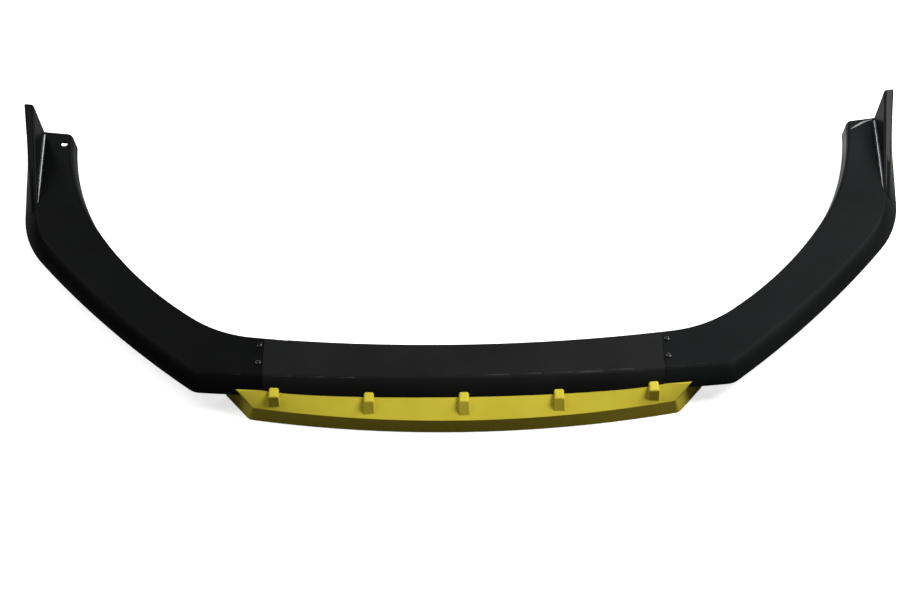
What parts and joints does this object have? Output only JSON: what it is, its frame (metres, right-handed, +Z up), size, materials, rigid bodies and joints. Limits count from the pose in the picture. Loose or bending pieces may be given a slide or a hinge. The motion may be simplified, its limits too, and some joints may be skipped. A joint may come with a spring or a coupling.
{
  "type": "front splitter lip",
  "caption": "Bolt-on front bumper lip: a black centre and side lips with upswept winglets around a bumper bay, and a yellow lower splitter with short buttresses.",
  "frame": {"origin": "middle of the seat, on the flat top of the centre lip that meets the bumper's underside", "axes": "+X across the car to the part's right as seen from the front, +Y rearward along the arms, +Z up"},
  "size_m": [1.7574, 0.6981, 0.144],
  "materials": {
    "lip_black": "satin moulded black",
    "splitter_yellow": "satin moulded yellow",
    "fastener_steel": "dark zinc"
  },
  "bodies": {
    "root": {"centre_lip": "lip_black", "left_side_lip": "lip_black", "right_side_lip": "lip_black", "lower_splitter": "splitter_yellow", "joint_bolts": "fastener_steel", "joint_washers": "fastener_steel", "joint_nuts": "fastener_steel", "splitter_screws": "fastener_steel"}
  },
  "joints": []
}
